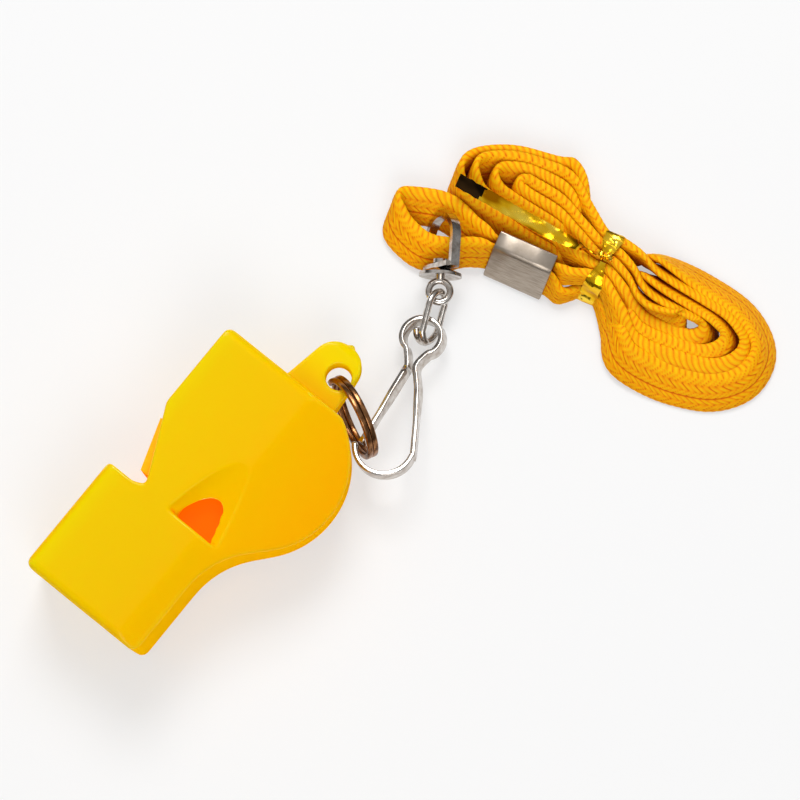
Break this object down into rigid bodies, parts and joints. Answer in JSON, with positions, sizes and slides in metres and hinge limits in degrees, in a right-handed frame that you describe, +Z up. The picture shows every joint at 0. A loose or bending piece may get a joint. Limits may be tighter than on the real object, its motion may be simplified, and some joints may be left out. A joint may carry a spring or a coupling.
{
  "type": "pealess sports whistle on a lanyard",
  "caption": "Flat three-chamber pealess whistle with a lug, split ring, spring hook, swivel and a folded flat-cord lanyard held by a twist tie.",
  "frame": {"origin": "centre of the round barrel, on the flat side face that the whistle lies on", "axes": "+X from the mouth end along the whistle to the lug, +Y from the round belly to the mouthpiece's top, +Z up from the side face across the whistle's width"},
  "size_m": [0.1034, 0.0683, 0.019],
  "materials": {
    "whistle_plastic": "glossy, slightly translucent orange-yellow",
    "ring_metal": "polished brown bronze plating",
    "nickel": "bright nickel plating",
    "crimp_nickel": "satin nickel plating",
    "cord": "flat braid, orange-yellow",
    "tie_foil": "crumpled gold foil"
  },
  "bodies": {
    "whistle": {"lower_housing": "whistle_plastic", "upper_housing": "whistle_plastic", "chamber_core": "whistle_plastic"},
    "ring": {"split_ring": "ring_metal"},
    "hook": {"hook_body": "nickel"},
    "gate": {"hook_gate": "nickel"},
    "link": {"oval_link": "nickel"},
    "swivel": {"swivel_eye": "nickel"},
    "washer": {"swivel_disc": "nickel"},
    "dee": {"d_ring": "nickel"},
    "lanyard": {"crimp_ferrule": "crimp_nickel", "lanyard_loop": "cord", "lanyard_hank": "cord", "twist_tie": "tie_foil"}
  },
  "joints": [
    {"name": "ring_swing", "type": "hinge", "parent": "whistle", "child": "ring", "pos_m": [0.01788, -0.0015, 0.0095], "axis": [0, 0, 1], "range_deg": [0, 60]},
    {"name": "hook_swing", "type": "hinge", "parent": "ring", "child": "hook", "pos_m": [0.01293, -0.01028, 0.00663], "axis": [0, 0, 1], "range_deg": [-4, 12]},
    {"name": "gate_flex", "type": "hinge", "parent": "hook", "child": "gate", "pos_m": [0.02616, -0.0084, 0.00473], "axis": [0.1133, 0.19, 0.9752], "range_deg": [0, 6], "stiffness_Nm_per_rad": 0.1},
    {"name": "link_swing", "type": "hinge", "parent": "hook", "child": "link", "pos_m": [0.03463, -0.00602, 0.00328], "axis": [0, 0, -1], "range_deg": [-10, 10]},
    {"name": "swivel_tilt", "type": "hinge", "parent": "link", "child": "swivel", "pos_m": [0.03911, -0.00446, 0.00445], "axis": [0, 0, 1], "range_deg": [-25, 25]},
    {"name": "washer_spin", "type": "hinge", "parent": "swivel", "child": "washer", "pos_m": [0.0416, -0.0027, 0.00445], "axis": [0.8161, 0.5779, 0], "continuous": true},
    {"name": "swivel_spin", "type": "hinge", "parent": "swivel", "child": "dee", "pos_m": [0.0416, -0.0027, 0.00445], "axis": [0.8161, 0.5779, 0], "range_deg": [-135, 135]},
    {"name": "lanyard_swing", "type": "hinge", "parent": "dee", "child": "lanyard", "pos_m": [0.04879, 0.00239, 0.00445], "axis": [0, 0, -1], "range_deg": [-15, 15]}
  ]
}
